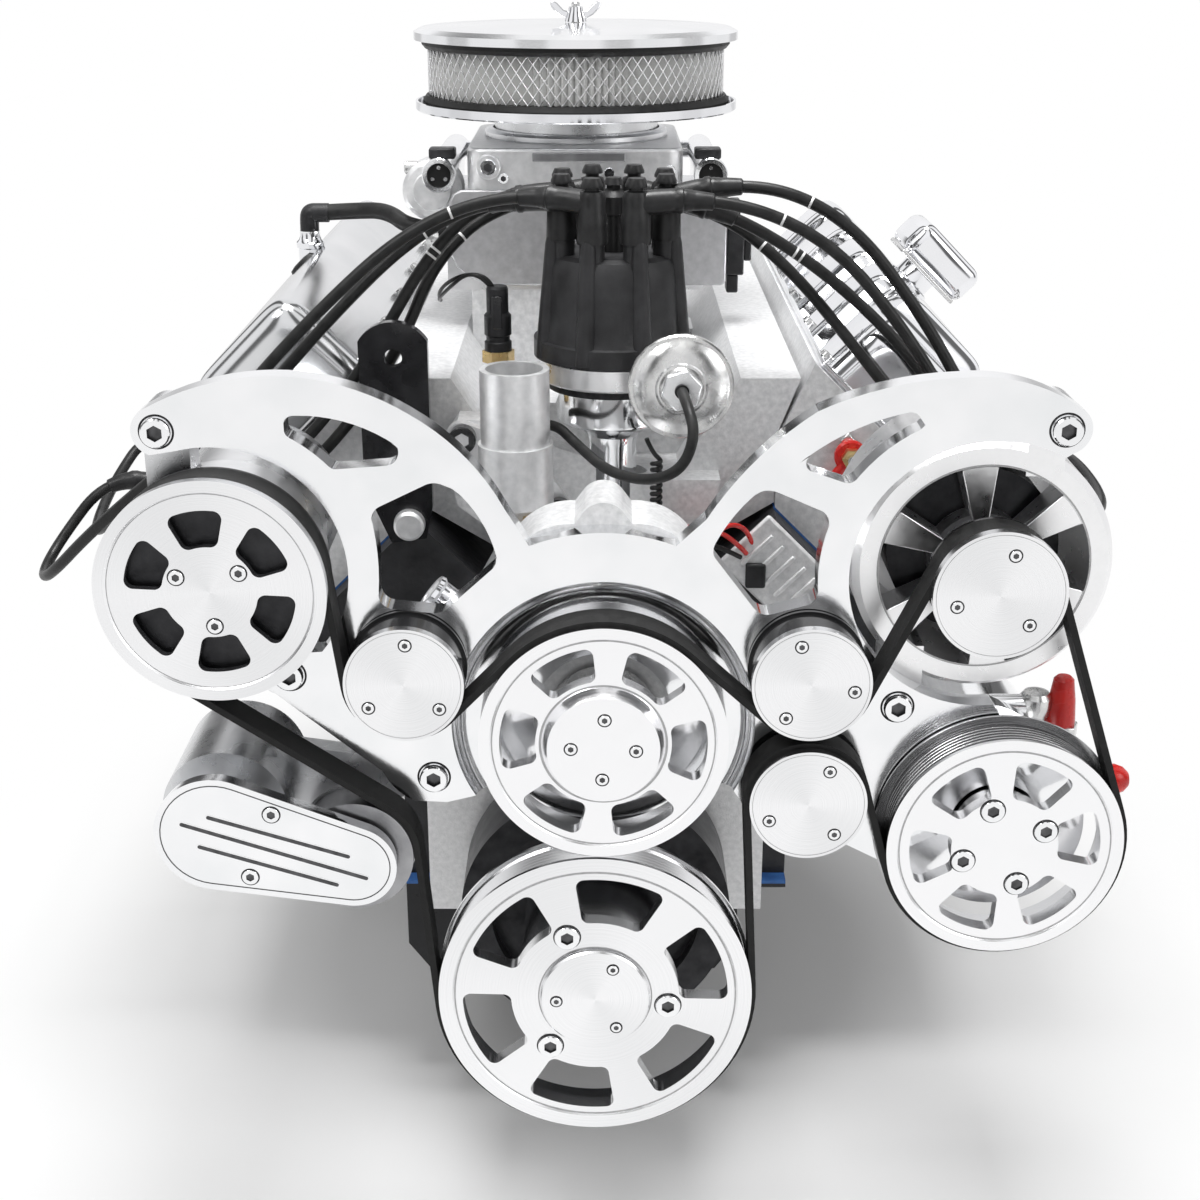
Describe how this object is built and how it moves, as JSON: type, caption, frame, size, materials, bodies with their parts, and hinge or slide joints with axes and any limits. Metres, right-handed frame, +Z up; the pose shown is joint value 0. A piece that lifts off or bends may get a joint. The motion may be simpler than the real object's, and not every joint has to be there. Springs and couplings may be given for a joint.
{
  "type": "complete v8 engine",
  "caption": "Complete V8 engine with fuel injection throttle body, front accessory drive with ribbed belt, distributor ignition and round air cleaner.",
  "frame": {"origin": "crankshaft axis on the rear face of the block", "axes": "+Z up, -Y out of the front of the engine, +X to the right as seen from the front"},
  "size_m": [0.7895, 0.822, 0.781],
  "materials": {
    "cast_block": "satin paint",
    "pan_paint": "satin",
    "gasket_blue": "matt",
    "steel": "machined",
    "cast_alloy": "as cast",
    "polished_alloy": "polished",
    "chrome": "bright",
    "black_steel": "gloss",
    "belt_rubber": "matt",
    "wire_rubber": "satin",
    "black_plastic": "satin",
    "red_plastic": "gloss",
    "filter_paper": "pleated"
  },
  "bodies": {
    "engine": {"air_cleaner_base": "polished_alloy", "air_cleaner_lid": "polished_alloy", "air_cleaner_stud": "chrome", "air_filter_element": "filter_paper", "alternator_housing": "cast_alloy", "bracket_bolts": "steel", "breather_cap": "chrome", "compressor_body": "cast_alloy", "cylinder_head_left": "cast_alloy", "cylinder_head_right": "cast_alloy", "distributor_cap": "black_plastic", "distributor_housing": "polished_alloy", "engine_block": "cast_block", "front_bracket": "polished_alloy", "fuel_tubes": "polished_alloy", "head_gaskets": "gasket_blue", "idler_axles": "steel", "intake_manifold": "cast_alloy", "lifting_bracket": "black_steel", "oil_pan": "pan_paint", "oil_pan_gasket": "gasket_blue", "pcv_elbow": "black_plastic", "pistons": "steel", "plug_wires": "wire_rubber", "port_caps": "red_plastic", "power_steering_pump": "polished_alloy", "serpentine_belt": "belt_rubber", "small_hoses": "belt_rubber", "spark_plugs": "black_plastic", "temperature_sensor": "black_plastic", "tensioner_body": "cast_alloy", "thermostat_housing": "cast_alloy", "throttle_body": "cast_alloy", "timing_chain": "steel", "timing_cover": "cast_alloy", "vacuum_advance": "chrome", "valve_cover_left": "polished_alloy", "valve_cover_right": "polished_alloy", "water_pump_housing": "cast_alloy"},
    "crank_train": {"crankshaft": "steel", "crank_sprocket": "steel", "crank_pulley": "polished_alloy", "crank_pulley_cap": "polished_alloy", "harmonic_damper": "black_steel"},
    "cam_train": {"camshaft": "steel"},
    "distributor_drive": {"distributor_shaft": "steel"},
    "water_pump_rotor": {"water_pump_pulley": "polished_alloy", "water_pump_shaft": "steel"},
    "steering_wheel": {"power_steering_pulley": "polished_alloy"},
    "compressor_wheel": {"compressor_pulley": "black_steel", "compressor_pulley_cover": "polished_alloy"},
    "alternator_wheel": {"alternator_pulley": "polished_alloy", "alternator_rotor": "steel"},
    "idler_wheel_left": {"idler_left": "polished_alloy"},
    "idler_wheel_upper": {"idler_upper": "polished_alloy"},
    "idler_wheel_lower": {"idler_lower": "polished_alloy"},
    "tensioner_swing": {"tensioner_arm": "polished_alloy"},
    "tensioner_wheel": {"tensioner_pulley": "black_steel"},
    "throttle_spindle": {"throttle_shaft": "steel"},
    "wing_nut": {"air_cleaner_wing_nut": "chrome"}
  },
  "joints": [
    {"name": "crank_spin", "type": "hinge", "parent": "engine", "child": "crank_train", "pos_m": [0, 0, 0], "axis": [0, 1, 0], "continuous": true},
    {"name": "cam_spin", "type": "hinge", "parent": "engine", "child": "cam_train", "pos_m": [0, 0, 0.13], "axis": [0, 1, 0], "continuous": true},
    {"name": "distributor_spin", "type": "hinge", "parent": "engine", "child": "distributor_drive", "pos_m": [0.012, -0.545, 0.346], "axis": [0, 0, 1], "continuous": true},
    {"name": "water_pump_spin", "type": "hinge", "parent": "engine", "child": "water_pump_rotor", "pos_m": [0.005, -0.78, 0.172], "axis": [0, 1, 0], "continuous": true},
    {"name": "steering_spin", "type": "hinge", "parent": "engine", "child": "steering_wheel", "pos_m": [0.245, -0.78, 0.104], "axis": [0, 1, 0], "continuous": true},
    {"name": "compressor_spin", "type": "hinge", "parent": "engine", "child": "compressor_wheel", "pos_m": [-0.217, -0.78, 0.268], "axis": [0, 1, 0], "continuous": true},
    {"name": "alternator_spin", "type": "hinge", "parent": "engine", "child": "alternator_wheel", "pos_m": [0.229, -0.78, 0.266], "axis": [0, 1, 0], "continuous": true},
    {"name": "idler_left_spin", "type": "hinge", "parent": "engine", "child": "idler_wheel_left", "pos_m": [-0.11, -0.78, 0.211], "axis": [0, 1, 0], "continuous": true},
    {"name": "idler_upper_spin", "type": "hinge", "parent": "engine", "child": "idler_wheel_upper", "pos_m": [0.125, -0.78, 0.211], "axis": [0, 1, 0], "continuous": true},
    {"name": "idler_lower_spin", "type": "hinge", "parent": "engine", "child": "idler_wheel_lower", "pos_m": [0.126, -0.78, 0.134], "axis": [0, 1, 0], "continuous": true},
    {"name": "tensioner_pivot", "type": "hinge", "parent": "engine", "child": "tensioner_swing", "pos_m": [-0.224, -0.8, 0.118], "axis": [0, 1, 0], "range_deg": [0, 8]},
    {"name": "tensioner_pulley_spin", "type": "hinge", "parent": "tensioner_swing", "child": "tensioner_wheel", "pos_m": [-0.144, -0.78, 0.097], "axis": [0, 1, 0], "continuous": true},
    {"name": "throttle_turn", "type": "hinge", "parent": "engine", "child": "throttle_spindle", "pos_m": [-0.016, -0.302, 0.386], "axis": [1, 0, 0], "range_deg": [0, 75]},
    {"name": "wing_nut_turn", "type": "hinge", "parent": "engine", "child": "wing_nut", "pos_m": [-0.016, -0.276, 0.56], "axis": [0, 0, 1], "continuous": true}
  ],
  "couplings": [
    {"joint": "cam_spin", "follows": "crank_spin", "ratio": 0.5},
    {"joint": "distributor_spin", "follows": "crank_spin", "ratio": 0.5},
    {"joint": "water_pump_spin", "follows": "crank_spin", "ratio": 1.3273},
    {"joint": "steering_spin", "follows": "crank_spin", "ratio": 1.3752},
    {"joint": "compressor_spin", "follows": "crank_spin", "ratio": 1.5623},
    {"joint": "alternator_spin", "follows": "crank_spin", "ratio": 2.8879},
    {"joint": "idler_left_spin", "follows": "crank_spin", "ratio": -2.8705},
    {"joint": "idler_upper_spin", "follows": "crank_spin", "ratio": -2.8705},
    {"joint": "idler_lower_spin", "follows": "crank_spin", "ratio": -2.8705},
    {"joint": "tensioner_pulley_spin", "follows": "crank_spin", "ratio": -2.7229}
  ]
}
